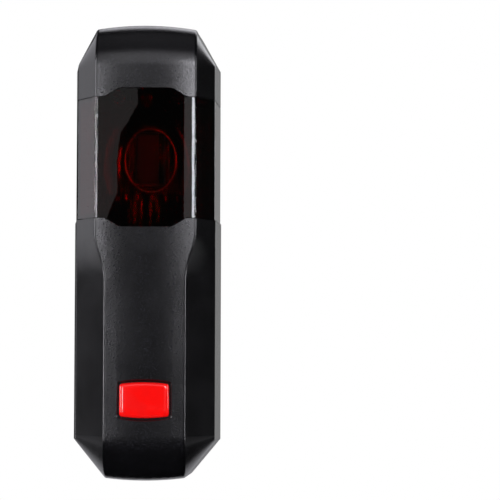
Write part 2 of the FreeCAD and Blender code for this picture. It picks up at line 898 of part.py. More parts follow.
keep("optics_bracket", bracket)
bracket_screws = ("bracket_screw_right", "bracket_screw_left", "bracket_screw_lower")
for name, (x, z) in zip(bracket_screws, bracket_places):
    top = (x, "-bracket_front - small_head_tall", z)
    screw(name, top, (0, -1, 0), "small_head", "small_head_tall", "small_shank", "bracket_front - 2")

pivot = rod("top_pivot", ("0", "-axis_depth", "pivot_low"), (0, 0, 1), "pivot_size", "arm_high - pivot_low")
keep("top_pivot", pivot)

washer = turned(
    "friction_washer",
    "V_Axis",
    [
        ("stem_journal + 0.1", "shelf_high"),
        ("washer_size", "shelf_high"),
        ("washer_size", "washer_top"),
        ("stem_journal + 0.1", "washer_top"),
    ],
    across="-axis_depth",
)
keep("friction_washer", washer)

# Ribbed stem: journal and clip groove below, ribs, a collar under the head and a tang inside it

ribs = int((value("collar_low") - value("stem_shoulder")) / value("stem_pitch"))
profile = [
    ("lead_bore", "stem_low"),
    ("stem_journal", "stem_low"),
    ("stem_journal", "clip_low"),
    ("clip_seat", "clip_low"),
    ("clip_seat", "clip_high"),
    ("stem_journal", "clip_high"),
    ("stem_journal", "stem_shoulder"),
]
for rib in range(ribs):
    foot = f"stem_shoulder + {rib} * stem_pitch"
    profile.append(("stem_rib", foot))
    profile.append(("stem_rib", f"{foot} + stem_pitch * 0.5"))
    profile.append(("stem_groove", f"{foot} + stem_pitch * 0.62"))
    profile.append(("stem_groove", f"{foot} + stem_pitch * 0.9"))
profile += [
    ("stem_groove", "collar_low"),
    ("stem_collar", "collar_low"),
    ("stem_collar", "collar_high"),
    ("neck_size", "collar_high"),
    ("neck_size", "tang_low"),
    ("tang_size", "tang_low"),
    ("tang_size", "cavity_low"),
    ("lead_bore", "cavity_low"),
]
keep("swivel_stem", turned("swivel_stem", "V_Axis", profile, across="-axis_depth"))

clip = turned(
    "clip_ring",
    "V_Axis",
    [
        ("clip_seat", "clip_low"),
        ("clip_size", "clip_low"),
        ("clip_size", "clip_high"),
        ("clip_seat", "clip_high"),
    ],
    across="-axis_depth",
)
mouth = box(
    "clip_mouth",
    ("-clip_gap", "-axis_depth - clip_size - 1", "clip_low - 1"),
    ("clip_gap", "-axis_depth", "clip_high + 1"),
)
keep("stem_clip", cut("stem_clip", clip, mouth))

# Head: a barrel turned on the pan axis, split through the axis and hollowed for the sensor

swell = "(head_belly - head_foot)"
low_bow = f"({swell} ^ 2 + (belly_height - head_low) ^ 2) / (2 * {swell})"
swell = "(head_belly - head_crown)"
high_bow = f"({swell} ^ 2 + (head_high - belly_height) ^ 2) / (2 * {swell})"
barrel = turned(
    "head_barrel",
    "V_Axis",
    [
        ("0", "head_low"),
        ("head_foot", "head_low"),
        ("head_belly", "belly_height"),
        ("head_crown", "head_high"),
        ("0", "head_high"),
    ],
    {1: low_bow, 2: high_bow},
    across="-axis_depth",
)
head_middle = value("belly_height")
round_edges(barrel, "head_round", lambda edge, middle: edge.Length > 20 and abs(middle.z - head_middle) > 5)
hollow = turned(
    "head_hollow",
    "V_Axis",
    [
        ("0", "cavity_low"),
        ("cavity_size - 1.3", "cavity_low"),
        ("cavity_size", "lens_height - 3"),
        ("cavity_size", "lens_height + 3"),
        ("cavity_size - 2.4", "cavity_high"),
        ("0", "cavity_high"),
    ],
    across="-axis_depth",
)
reach = box("hollow_reach", ("-20", "-cavity_front", "0"), ("20", "0", "60"))
chamber = common("head_chamber", hollow, reach)
socket = turned(
    "stem_socket",
    "V_Axis",
    [
        ("0", "head_low - 1"),
        ("neck_size", "head_low - 1"),
        ("neck_size", "tang_low"),
        ("tang_size", "tang_low"),
        ("tang_size", "cavity_low + 0.1"),
        ("0", "cavity_low + 0.1"),
    ],
    across="-axis_depth",
)
pivot_foot = ("0", "-axis_depth", "pivot_low - 0.3")
pivot_hole = rod("pivot_hole", pivot_foot, (0, 0, 1), "pivot_size + running_gap", "head_high")
screw_bores = []
for side in ("head_screw_x", "-head_screw_x"):
    tip = (side, "-axis_depth - 4.5", "head_screw_z")
    seat = (side, "-head_screw_seat", "head_screw_z")
    screw_bores.append(rod("screw_bore", tip, (0, 1, 0), "small_shank + thread_play", "12"))
    screw_bores.append(rod("screw_well", seat, (0, 1, 0), "small_head + 0.15", "12"))


def oval(grow):
    """A four-centred oval about the lens's centre, grown by a margin: its corners and arcs."""
    spread = "sqrt(oval_across ^ 2 + oval_rise ^ 2)"
    radius = f"(oval_radius + ({grow}))"
    across = f"({radius} * oval_across / {spread})"
    rise = f"(oval_rise + {radius} * oval_rise / {spread})"
    flat = f"{radius} + {spread}"
    corners = rectangle(f"-{across}", across, f"lens_height - {rise}", f"lens_height + {rise}")
    return corners, {0: radius, 1: flat, 2: radius, 3: flat}


lens_seat = new_body("lens_seat")
pad(lens_seat, outline(sketch(lens_seat, "XZ_Plane", "lens_back"), *oval("0")), "5")
baffle_seat = box(
    "baffle_seat",
    ("-baffle_half", "-lens_back - 1", "baffle_low"),
    ("baffle_half", "1 - cavity_front", "baffle_high"),
)
optic_bores = [lens_seat, baffle_seat]
front_half = box("front_half", ("-20", "-head_flat", "0"), ("20", "-axis_depth", "60"))
rear_half = box("rear_half", ("-20", "-axis_depth", "0"), ("20", "0", "60"))
sensor = box(
    "sensor_board",
    ("-sensor_half", "-axis_depth", "sensor_low"),
    ("sensor_half", "-sensor_back", "sensor_high"),
)
keep("sensor_board", sensor)
head_tools = [chamber, socket, pivot_hole] + screw_bores
front_blank = common("front_blank", barrel, front_half)
keep("head_front", cut("head_front", front_blank, *head_tools, *optic_bores))
rear_blank = common("rear_blank", barrel, rear_half)
keep("head_rear", cut("head_rear", rear_blank, *head_tools, sensor))
for name, side in (("head_screw_right", "head_screw_x"), ("head_screw_left", "-head_screw_x")):
    top = (side, "small_head_tall - head_screw_seat", "head_screw_z")
    length = "axis_depth + 4 - head_screw_seat"
    screw(name, top, (0, 1, 0), "small_head", "small_head_tall", "small_shank", length)

# Oval lens with a domed face, the bead around it, the ridged light baffle behind it and the
# sensor at the baffle's end

lens_blank = new_body("lens_blank")
lens_plan = outline(sketch(lens_blank, "XZ_Plane", "lens_back"), *oval("-lens_gap"))
pad(lens_blank, lens_plan, "lens_tip - lens_back")
lens_bow = "((lens_tip - lens_rim) ^ 2 + (oval_rise + oval_radius) ^ 2) / (2 * (lens_tip - lens_rim))"
lens_dome = doc.addObject("Part::Sphere", "lens_dome")
lens_dome.setExpression("Radius", bound(lens_bow))
place(lens_dome, ("0", f"{lens_bow} - lens_tip", "lens_height"))
keep("lens", common("lens", lens_blank, lens_dome))

bead = new_body("lens_ring")
bead_plan = sketch(bead, "XZ_Plane", "head_flat")
outline(bead_plan, *oval("ring_wide"))
outline(bead_plan, *oval("lens_gap"))
pad(bead, bead_plan, "ring_front - head_flat")
bead_face = -value("ring_front")
round_edges(bead, "ring_round", lambda edge, middle: middle.y < bead_face + 0.01)
keep("lens_ring", bead)

baffle = new_body("light_baffle")
baffle_plan = sketch(baffle, "XZ_Plane", "baffle_back")
outline(baffle_plan, rectangle("-baffle_half", "baffle_half", "baffle_low", "baffle_high"))
pitch = f"(baffle_high - baffle_low - 2 * baffle_rail) / {RIDGES}"
climb = [("ridge_crest", "baffle_low + baffle_rail")]
for ridge in range(RIDGES):
    climb.append(("ridge_root", f"baffle_low + baffle_rail + {ridge + 0.5} * {pitch}"))
    climb.append(("ridge_crest", f"baffle_low + baffle_rail + {ridge + 1} * {pitch}"))
outline(baffle_plan, climb + [(f"-{x}", z) for x, z in reversed(climb)])
pad(baffle, baffle_plan, "lens_back - baffle_back")
keep("light_baffle", baffle)

diode = new_body("photodiode")
package = rectangle("-diode_half", "diode_half", "diode_low", "diode_high")
pad(diode, outline(sketch(diode, "XZ_Plane", "axis_depth"), package), "diode_front - axis_depth")
diode_face = -value("diode_front")
round_edges(diode, "diode_round", lambda edge, middle: middle.y < diode_face + 0.01)
keep("photodiode", diode)

# Sensor lead: forward from its connector, then up the pan axis through the hollow stem

lead = new_body("sensor_lead")
bend = value("axis_depth - connector_front") - 3
route = lead.newObject("Sketcher::SketchObject", "lead_route")
side_plane = next(item for item in lead.Origin.OriginFeatures if item.Role == "YZ_Plane")
route.AttachmentSupport = [(side_plane, "")]
route.MapMode = "FlatFace"
start = FreeCAD.Vector(-value("connector_front"), value("connector_z"), 0)
turn_in = FreeCAD.Vector(-value("axis_depth") + bend, start.y, 0)
turn_out = FreeCAD.Vector(-value("axis_depth"), start.y + bend, 0)
finish = FreeCAD.Vector(turn_out.x, value("cavity_low") + 0.8, 0)
centre = FreeCAD.Vector(turn_in.x, turn_out.y, 0)
middle = centre + FreeCAD.Vector(-1, -1, 0).normalize() * bend
run = route.addGeometry(Part.LineSegment(start, turn_in), False)
arc = route.addGeometry(Part.Arc(turn_in, middle, turn_out), False)
rise = route.addGeometry(Part.LineSegment(turn_out, finish), False)
arc_ends = (1, 2) if route.getPoint(arc, 1).isEqual(turn_in, 0.01) else (2, 1)
route.addConstraint(Sketcher.Constraint("Tangent", run, 2, arc, arc_ends[0]))
route.addConstraint(Sketcher.Constraint("Tangent", arc, arc_ends[1], rise, 1))
route.addConstraint(Sketcher.Constraint("Horizontal", run))
route.addConstraint(Sketcher.Constraint("Vertical", rise))
hold(route, "DistanceX", "start_y", "-connector_front", -1, 1, run, 1)
hold(route, "DistanceY", "start_z", "connector_z", -1, 1, run, 1)
hold(route, "DistanceX", "end_y", "-axis_depth", -1, 1, rise, 2)
hold(route, "DistanceY", "end_z", "cavity_low + 0.8", -1, 1, rise, 2)
hold(route, "Radius", "bend", "axis_depth - connector_front - 3", arc)
wire_end = circles(sketch(lead, "XZ_Plane", "connector_front"), [("0", "connector_z")], "lead_size")
doc.recompute()
pipe = lead.newObject("PartDesign::AdditivePipe", "lead_pipe")
pipe.Profile = wire_end
pipe.Spine = (route, ["Edge1", "Edge2", "Edge3"])
doc.recompute()
keep("sensor_lead", lead)

# Top cap: the rolled end of the column, with a boss and rib for its screw

cap_skin = upper_form("upper_skin", "window_step")
soften(cap_skin)
cap_core = upper_form("cap_core", "window_step + shell_wall")
above_cap = [("-body_width", "body_height"), ("body_width", "body_height")]
cap_block = seam_block("cap_block", seam("seam_high + seam_gap", "notch_depth"), above_cap)
cap_shell = common("cap_shell", cut("upper_shell", cap_skin, cap_core), cap_block)
cap_foot = ("0", "-cover_back", "cap_screw_height")
cap_boss = rod("cap_post", cap_foot, (0, -1, 0), "cap_boss", "cap_boss_front - cover_back")
cap_rib = box(
    "cap_web",
    ("-cap_rib", "-cap_boss_front", "cap_screw_height"),
    ("cap_rib", "-rim_front - 0.4", "body_height / 2 - window_step - shell_wall / 2"),
)
cap_bore = rod(
    "cap_bore", cap_foot, (0, -1, 0), "case_shank + thread_play", "cap_boss_front - cover_back - 2"
)
keep("top_cap", cut("top_cap", fused("cap_blank", cap_shell, cap_boss, cap_rib), cap_bore))
screw(
    "cap_screw",
    ("0", "-0.3", "cap_screw_height"),
    (0, 1, 0),
    "case_head",
    "case_head_tall",
    "case_shank",
    "cap_boss_front - case_head_tall - 4",
)

# Window: one smoked wrap-around shell, with lips that tuck behind the cap and the front cover

window_inset = "window_step + shell_wall + lip_gap"
window_core = upper_form("window_core", window_inset)
lip_core = upper_form("lip_core", "window_step + shell_wall + lip_gap + lip_wall")
low_seam = seam("seam_low", "-notch_depth")
high_seam = seam("seam_high", "notch_depth")
window_block = seam_block("window_block", low_seam, high_seam)
window_wall = common("window_wall", cut("window_shell", cap_skin, window_core), window_block)
lip_bands = fused(
    "lip_bands",
    box(
        "upper_band",
        ("-body_width", "-front_depth", "seam_high - lip_root"),
        ("body_width", "-lip_back", "seam_high + notch_depth + lip_reach"),
    ),
    box(
        "lower_band",
        ("-body_width", "-front_depth", "seam_low - notch_depth - lip_reach"),
        ("body_width", "-lip_back", "seam_low + lip_root"),
    ),
)
lips = common("window_lips", cut("lip_shell", window_core, lip_core), lip_bands)
keep("window", fused("window", window_wall, lips))

# Front cover: the long lower shell, with the badge recess and a screw boss in its foot



def pillow(body, width, side, depth="recess_depth"):
    """A rectangle with bowed upper and lower edges, drawn at a depth in the badge's recess."""
    low, high = f"badge_height - {side} / 2", f"badge_height + {side} / 2"
    corners = rectangle(f"-{width} / 2", f"{width} / 2", low, high)
    bow = f"(badge_bow ^ 2 + ({width} / 2) ^ 2) / (2 * badge_bow)"
    return outline(sketch(body, "XZ_Plane", f"front_depth - {depth}"), corners, {0: bow, 2: bow})


cover_skin = lower_form("cover_skin", "0")
soften(cover_skin)
cover_core = lower_form("cover_core", "shell_wall")
below_cover = [("-body_width", "-body_height"), ("body_width", "-body_height")]
cover_block = seam_block("cover_block", below_cover, seam("seam_low - seam_gap", "-notch_depth"))
cover_shell = common("cover_shell", cut("lower_shell", cover_skin, cover_core), cover_block)
cover_boss = rod(
    "cover_post",
    ("0", "-cover_screw_depth", "shell_wall / 2 - body_height / 2"),
    (0, 0, 1),
    "cover_boss",
    "cover_boss_top + body_height / 2 - shell_wall / 2",
)
screw_well = rod(
    "cover_well",
    ("0", "-cover_screw_depth", "-body_height / 2 - 1"),
    (0, 0, 1),
    "case_head + screw_play",
    "case_head_tall + 0.5 + 1",
)
hole_foot = ("0", "-cover_screw_depth", "-body_height / 2")
screw_hole = rod("cover_hole", hole_foot, (0, 0, 1), "case_shank + screw_play", "10")
recess = new_body("badge_recess")
pad(recess, pillow(recess, "recess_width", "recess_side"), "5")
round_edges(recess, "recess_round", lambda edge, middle: runs_deep(edge))
mouth = new_body("recess_mouth")
flare = pad(mouth, pillow(mouth, "recess_width", "recess_side", "flare_depth"), "3")
flare.setExpression("TaperAngle", bound("recess_flare"))
doc.recompute()
round_edges(mouth, "recess_round", lambda edge, middle: runs_deep(edge))
cover_blank = fused("cover_blank", cover_shell, cover_boss)
keep("front_cover", cut("front_cover", cover_blank, screw_well, screw_hole, recess, mouth))
screw(
    "cover_screw",
    ("0", "-cover_screw_depth", "0.5 - body_height / 2"),
    (0, 0, -1),
    "case_head",
    "case_head_tall - 0.1",
    "case_shank",
    "cover_block_high + body_height / 2 - case_head_tall - 0.6",
)

# Badge: a bare domed pillow with bowed upper and lower edges, seated in the recess

badge = new_body("badge_blank")
pad(badge, pillow(badge, "badge_width", "badge_side"), "recess_depth + badge_rise")
round_edges(badge, "badge_round", lambda edge, middle: runs_deep(edge))
face_depth = value("front_depth + badge_rise")
round_edges(badge, "badge_edge", lambda edge, middle: abs(middle.y + face_depth) < 0.01)
dome = doc.addObject("Part::Sphere", "badge_dome_form")
dome.setExpression("Radius", bound("badge_dome"))
place(dome, ("0", "badge_dome - front_depth - badge_rise", "badge_height"))
keep("badge", common("badge", badge, dome))

doc.recompute()
for item in doc.Objects:
    if "Invalid" in item.State or "Error" in item.State:
        raise ValueError(f"{item.Name} failed: {item.State}")
for name, made in nodes.items():
    if made.Shape.isNull() or not made.Shape.isValid() or len(made.Shape.Solids) != 1:
        raise ValueError(f"{name} is not one valid solid")
# The head is drawn looking straight ahead and kept at the angle at which it is seen, turned about
# the pan axis with everything that rides on it.

TURNING = (
    "swivel_stem",
    "stem_clip",
    "head_front",
    "head_rear",
    "head_screw_right",
    "head_screw_left",
    "lens",
    "lens_ring",
    "light_baffle",
    "sensor_board",
    "photodiode",
)
pan_axis = FreeCAD.Vector(0, -value("axis_depth"), 0)
os.makedirs("parts", exist_ok=True)
for name, made in nodes.items():
    solid = made.Shape.copy()
    if name in TURNING:
        solid.rotate(pan_axis, FreeCAD.Vector(0, 0, 1), value("head_turn"))
    solid.exportStep(f"parts/{name}.step")
print(len(nodes), "pieces written")
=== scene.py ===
import math

import bpy
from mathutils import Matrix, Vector


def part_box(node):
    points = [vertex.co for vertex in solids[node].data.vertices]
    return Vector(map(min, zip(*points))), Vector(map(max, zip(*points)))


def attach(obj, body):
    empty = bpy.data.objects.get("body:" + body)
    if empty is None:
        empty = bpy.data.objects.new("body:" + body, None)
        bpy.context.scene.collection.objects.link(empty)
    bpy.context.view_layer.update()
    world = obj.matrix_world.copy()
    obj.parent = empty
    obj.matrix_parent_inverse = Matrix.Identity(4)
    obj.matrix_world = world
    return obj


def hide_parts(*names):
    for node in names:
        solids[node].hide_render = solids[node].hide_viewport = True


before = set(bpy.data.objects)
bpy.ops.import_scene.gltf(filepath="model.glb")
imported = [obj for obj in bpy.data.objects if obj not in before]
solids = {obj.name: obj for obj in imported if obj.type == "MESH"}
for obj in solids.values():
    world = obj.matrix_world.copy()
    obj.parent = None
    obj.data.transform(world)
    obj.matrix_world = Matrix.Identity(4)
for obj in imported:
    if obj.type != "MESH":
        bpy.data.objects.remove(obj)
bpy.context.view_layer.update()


# Rear base: the moulded tray that is screwed to the wall and carries everything else.
# Black PC/ABS, injection moulded, with a spark-eroded grain except on its sides and slanted faces,
# which have a smooth satin skin. The grain's peaks carry painted glints, a lighter colour that fades on
# the rolls.
def fill(node, values):
    """Plain values set on a node's own sockets."""
    for label, value in values.items():
        node.inputs[label].default_value = value


def finish(name, values=None):
    """A new material with plain values on its shader: the material, its node tree and the shader."""
    material = bpy.data.materials.new(name)
    material.use_nodes = True
    shader = material.node_tree.nodes["Principled BSDF"]
    fill(shader, values or {})
    return material, material.node_tree, shader


def put(tree, kind, values=None, **settings):
    """A new node with its settings made and its sockets filled in."""
    node = tree.nodes.new("ShaderNode" + kind)
    for label, value in settings.items():
        setattr(node, label, value)
    fill(node, values or {})
    return node


def sums(tree, operation, first, second=None):
    """A Math node; a number is set on its socket and an output is linked to it."""
    node = put(tree, "Math", operation=operation)
    for socket, value in zip(node.inputs, (first, second)):
        if isinstance(value, (int, float)):
            socket.default_value = value
        elif value is not None:
            tree.links.new(value, socket)
    return node.outputs["Value"]


def ramp(tree, value, low, high, at_low=0.0, at_high=1.0):
    """A smooth step of a value, from at_low to at_high."""
    node = put(tree, "MapRange", {"From Min": low, "From Max": high, "To Min": at_low, "To Max": at_high},
               interpolation_type="SMOOTHSTEP")
    tree.links.new(value, node.inputs["Value"])
    return node.outputs["Result"]


# Places of the colour sockets on a Mix node, behind those for numbers and vectors
MIX_FIRST, MIX_SECOND, MIX_RESULT = 6, 7, 2


def blend(tree, mask, first, second):
    """Two colours mixed by a mask; a colour is given as three numbers or as an output."""
    node = put(tree, "Mix", data_type="RGBA")
    tree.links.new(mask, node.inputs["Factor"])
    for place, colour in ((MIX_FIRST, first), (MIX_SECOND, second)):
        if isinstance(colour, tuple):
            node.inputs[place].default_value = (*colour, 1.0)
        else:
            tree.links.new(colour, node.inputs[place])
    return node.outputs[MIX_RESULT]


def tint(tree, shader, mask, first, second):
    """Base colour that runs from one shade to another by a mask."""
    tree.links.new(blend(tree, mask, first, second), shader.inputs["Base Color"])


def emboss(tree, shader, height, strength, depth):
    """Relief of the surface by a height; depth is in metres."""
    relief = put(tree, "Bump", {"Strength": strength, "Distance": depth})
    tree.links.new(height, relief.inputs["Height"])
    tree.links.new(relief.outputs["Normal"], shader.inputs["Normal"])


def effect(name, inputs, outputs):
    """An empty node group: the group, the named values it is given and those it makes."""
    group = bpy.data.node_groups.new(name, "ShaderNodeTree")
    for way, labels in (("INPUT", inputs), ("OUTPUT", outputs)):
        for label in labels:
            group.interface.new_socket(label, in_out=way, socket_type="NodeSocketFloat")
    return group, group.nodes.new("NodeGroupInput").outputs, group.nodes.new("NodeGroupOutput").inputs


def use(tree, group, **values):
    """A group placed in a material with its own values; gives its outputs."""
    return put(tree, "Group", values, node_tree=group).outputs


def dress(material, *names):
    """The material on these CAD nodes."""
    for name in names:
        for slot in solids[name].material_slots:
            slot.material = material


# Fine crumbs over wider, shallower pits; cells is how many go to a metre
PIT_SPACING, PIT_SHARE = 0.62, 0.25
PEAK_START, PEAK_FULL = 0.5, 0.64
spark_grain, given, made = effect("spark_grain", ("cells",), ("height", "sparkle"))
place = put(spark_grain, "TexCoord").outputs["Object"]
pits = put(spark_grain, "TexVoronoi", feature="SMOOTH_F1")
spark_grain.links.new(place, pits.inputs["Vector"])
spark_grain.links.new(sums(spark_grain, "MULTIPLY", given["cells"], PIT_SPACING), pits.inputs["Scale"])
crumbs = put(spark_grain, "TexNoise", {"Detail": 3.0, "Roughness": 0.65})
spark_grain.links.new(place, crumbs.inputs["Vector"])
spark_grain.links.new(given["cells"], crumbs.inputs["Scale"])
pitted = sums(spark_grain, "MULTIPLY", pits.outputs["Distance"], PIT_SHARE)
spark_grain.links.new(sums(spark_grain, "ADD", pitted, crumbs.outputs["Fac"]), made["height"])
spark_grain.links.new(ramp(spark_grain, crumbs.outputs["Fac"], PEAK_START, PEAK_FULL), made["sparkle"])

# Soft clouds where the melt flowed; clouds is how many go to a metre
CLOUD_START, CLOUD_FULL = 0.3, 0.7
flow_mottle, given, made = effect("flow_mottle", ("clouds",), ("shade",))
drift = put(flow_mottle, "TexNoise", {"Detail": 4.0, "Roughness": 0.55, "Distortion": 0.6})
flow_mottle.links.new(put(flow_mottle, "TexCoord").outputs["Object"], drift.inputs["Vector"])
flow_mottle.links.new(given["clouds"], drift.inputs["Scale"])
flow_mottle.links.new(ramp(flow_mottle, drift.outputs["Fac"], CLOUD_START, CLOUD_FULL), made["shade"])

# Specks that lie on faces which look upward
LIE_START, LIE_FULL = 0.25, 0.95
SPECK_START, SPECK_FULL = 0.52, 0.72
settled_dust, given, made = effect("settled_dust", ("amount",), ("dust",))
where = put(settled_dust, "TexCoord")
upward = put(settled_dust, "SeparateXYZ")
settled_dust.links.new(where.outputs["Normal"], upward.inputs["Vector"])
specks = put(settled_dust, "TexNoise", {"Scale": 1500.0, "Detail": 2.0})
settled_dust.links.new(where.outputs["Object"], specks.inputs["Vector"])
lying = sums(settled_dust, "MULTIPLY", ramp(settled_dust, upward.outputs["Z"], LIE_START, LIE_FULL),
             ramp(settled_dust, specks.outputs["Fac"], SPECK_START, SPECK_FULL))
settled_dust.links.new(sums(settled_dust, "MULTIPLY", lying, given["amount"]), made["dust"])

BLACK_SKIN, BLACK_FLOW = (0.0014, 0.0014, 0.0016), (0.0024, 0.0024, 0.0028)
# Painted glint: the lighter colour given to the grain's peaks
PAINTED_PEAK_GLINT = (0.0145, 0.0145, 0.0168)
DUST = (0.16, 0.155, 0.15)
SATIN, GRAINED = 0.18, 0.21
FLOW_DULL, PEAK_SHINE = 0.04, 0.1
# Leans of a face, sideways and up or down, over which the grain runs out and the painted glints on its
# peaks fade
SIDE_START, SIDE_END = 0.17, 0.26
ROLL_START, ROLL_END, ROLL_GLINT_SHARE = 0.1, 0.4, 0.25

housing_black, tree, shader = finish("housing_black")
lean = put(tree, "SeparateXYZ")
tree.links.new(put(tree, "TexCoord").outputs["Normal"], lean.inputs["Vector"])
grained = ramp(tree, sums(tree, "ABSOLUTE", lean.outputs["X"]), SIDE_START, SIDE_END, 1.0, 0.0)
off_rolls = ramp(tree, sums(tree, "ABSOLUTE", lean.outputs["Z"]), ROLL_START, ROLL_END, 1.0, ROLL_GLINT_SHARE)
grain = use(tree, spark_grain, cells=2350.0)
flow = use(tree, flow_mottle, clouds=70.0)["shade"]
dust = use(tree, settled_dust, amount=0.04)["dust"]
peaks = sums(tree, "MULTIPLY", grain["sparkle"], grained)
skin = blend(tree, flow, BLACK_SKIN, BLACK_FLOW)
# Painted glints: the grain's peaks are coloured lighter than the skin, and fewer on the top and bottom
# rolls
glint_painted_skin = blend(tree, sums(tree, "MULTIPLY", peaks, off_rolls), skin, PAINTED_PEAK_GLINT)
tint(tree, shader, dust, glint_painted_skin, DUST)
gloss = sums(tree, "ADD", sums(tree, "MULTIPLY", grained, GRAINED - SATIN), SATIN)
uneven = sums(tree, "SUBTRACT", sums(tree, "MULTIPLY", flow, FLOW_DULL),
              sums(tree, "MULTIPLY", peaks, PEAK_SHINE))
tree.links.new(sums(tree, "ADD", gloss, uneven), shader.inputs["Roughness"])
emboss(tree, shader, sums(tree, "MULTIPLY", grain["height"], grained), strength=0.6, depth=0.00005)
dress(housing_black, "rear_base")


# Seal and cable grommet: the gasket that the shells close on and the bush of the cable's inlet.
# Both are black EPDM rubber with a fine foamed skin, fitted to the base by hand.
RUBBER, RUBBER_WORN = (0.012, 0.012, 0.012), (0.028, 0.027, 0.026)


def polish(tree, shader, mask, at_low, at_high):
    """Roughness that runs from one value to another by a mask."""
    tree.links.new(ramp(tree, mask, 0.0, 1.0, at_low, at_high), shader.inputs["Roughness"])


rubber_black, tree, shader = finish("rubber_black")
foam = use(tree, spark_grain, cells=5200.0)
wear = use(tree, flow_mottle, clouds=220.0)["shade"]
tint(tree, shader, wear, RUBBER, RUBBER_WORN)
polish(tree, shader, wear, at_low=0.62, at_high=0.8)
emboss(tree, shader, foam["height"], strength=0.35, depth=0.00005)
dress(rubber_black, "base_seal", "cable_grommet")


# Circuit board: glass epoxy under a green solder mask, with its tracks in faint relief.
# Two screws hold it on the base, and the sensor board in the head is cut from the same sheet.
MASK_GREEN, TRACK_GREEN = (0.004, 0.045, 0.014), (0.012, 0.10, 0.03)
QUARTER_TURN = (math.pi / 2, 0.0, 0.0)
board_green, tree, shader = finish("board_green")
upright = put(tree, "Mapping", {"Rotation": QUARTER_TURN})
tree.links.new(put(tree, "TexCoord").outputs["Object"], upright.inputs["Vector"])
bricks = put(tree, "TexBrick", {"Scale": 210.0, "Mortar Size": 0.09, "Mortar Smooth": 0.2, "Bias": -0.3},
             offset=0.35, squash=1.6)
tree.links.new(upright.outputs["Vector"], bricks.inputs["Vector"])
tracks = bricks.outputs["Fac"]
tint(tree, shader, tracks, MASK_GREEN, TRACK_GREEN)
polish(tree, shader, tracks, at_low=0.32, at_high=0.2)
emboss(tree, shader, tracks, strength=0.5, depth=0.00004)
dress(board_green, "circuit_board", "sensor_board")


# Board parts: terminal block, relay, chip, capacitor, pin header with its jumper, and connector.
# Moulded nylon, epoxy and a sleeved can, each with a fine skin and a colour of its own, soldered
# to the board.
MOULD_CELLS, MOULD_CLOUDS = 4200.0, 140.0
GLOSS_SWING, MOULD_RELIEF = 0.05, 0.4


def moulded(name, dark, light, rough, depth=0.00003):
    """A fine-grained moulding in one plastic, mottled between a dark and a light shade."""
    material, tree, shader = finish(name)
    skin = use(tree, spark_grain, cells=MOULD_CELLS)
    tint(tree, shader, use(tree, flow_mottle, clouds=MOULD_CLOUDS)["shade"], dark, light)
    polish(tree, shader, skin["sparkle"], at_low=rough + GLOSS_SWING, at_high=rough - GLOSS_SWING)
    emboss(tree, shader, skin["height"], MOULD_RELIEF, depth)
    return material


dress(moulded("terminal_green", dark=(0.01, 0.16, 0.05), light=(0.015, 0.20, 0.065), rough=0.45),
      "terminal_block")
dress(moulded("relay_black", dark=(0.010, 0.010, 0.011), light=(0.016, 0.016, 0.017), rough=0.38),
      "relay")
dress(moulded("chip_epoxy", dark=(0.014, 0.014, 0.015), light=(0.022, 0.022, 0.023), rough=0.55),
      "microcontroller")
dress(moulded("can_sleeve", dark=(0.012, 0.014, 0.03), light=(0.018, 0.02, 0.042), rough=0.3),
      "filter_capacitor")
dress(moulded("header_black", dark=(0.008, 0.008, 0.009), light=(0.013, 0.013, 0.014), rough=0.5),
      "sync_header", "sync_jumper")
dress(moulded("connector_white", dark=(0.62, 0.60, 0.54), light=(0.70, 0.68, 0.62), rough=0.42),
      "lead_connector")


# Alignment light: the small red lamp on the board that helps to aim the beam.
# Clear red epoxy, cast round its leads and soldered to the board.
LED_RED = (0.55, 0.02, 0.015, 1.0)
led_red, tree, shader = finish("led_red", {"Base Color": LED_RED, "Transmission Weight": 0.7, "IOR": 1.52})
polish(tree, shader, use(tree, flow_mottle, clouds=400.0)["shade"], at_low=0.12, at_high=0.3)
dress(led_red, "alignment_led")


# Screws and stem clip: zinc-plated steel, the screws cold-headed and the clip stamped.
# The screws hold the board, bracket, head halves, cap, cover and wires, and the clip snaps into
# a groove of the stem.
ZINC, ZINC_DULL = (0.52, 0.52, 0.50), (0.34, 0.34, 0.33)
zinc_steel, tree, shader = finish("zinc_steel", {"Metallic": 1.0})
dulled = use(tree, flow_mottle, clouds=600.0)["shade"]
tint(tree, shader, dulled, ZINC, ZINC_DULL)
polish(tree, shader, dulled, at_low=0.22, at_high=0.4)
dress(zinc_steel, "board_screw_lower", "board_screw_upper", "bracket_screw_left", "bracket_screw_right",
      "bracket_screw_lower", "head_screw_left", "head_screw_right", "terminal_screw_1", "terminal_screw_2",
      "terminal_screw_3", "terminal_screw_4", "cover_screw", "cap_screw", "stem_clip")


# Bracket, pivot, stem and head halves: the black carrier of the optics behind the window.
# Glass-filled nylon with a smooth skin that glints, moulded; the pivot is a blackened steel pin.
# Stem and head turn together between the bracket's shelf and that pin.
CARRIER, CARRIER_LIGHT = (0.0015, 0.0015, 0.0015), (0.003, 0.003, 0.003)
carrier_black = moulded("carrier_black", dark=CARRIER, light=CARRIER_LIGHT, rough=0.09, depth=0.000003)
dress(carrier_black, "optics_bracket", "swivel_stem", "head_front", "head_rear", "top_pivot")


# Friction washer and sensor lead: the slip ring under the stem's shoulder and the wire through it.
# The washer is turned acetal and lies on the bracket's shelf; the lead is sheathed in grey and
# plugs into the board.
dress(moulded("washer_white", dark=(0.60, 0.59, 0.56), light=(0.68, 0.67, 0.64), rough=0.4),
      "friction_washer")
dress(moulded("lead_grey", dark=(0.10, 0.10, 0.105), light=(0.13, 0.13, 0.135), rough=0.48),
      "sensor_lead")


# Sensor and light baffle: the photodiode on its board and the ridged black box in front of it.
# The diode is moulded in grey epoxy; the baffle is nylon, a little duller than the head, and
# reaches from the diode to the lens.
dress(moulded("diode_face", dark=(0.09, 0.087, 0.085), light=(0.105, 0.10, 0.098), rough=0.45),
      "photodiode")
dress(moulded("baffle_black", dark=CARRIER, light=CARRIER_LIGHT, rough=0.25), "light_baffle")


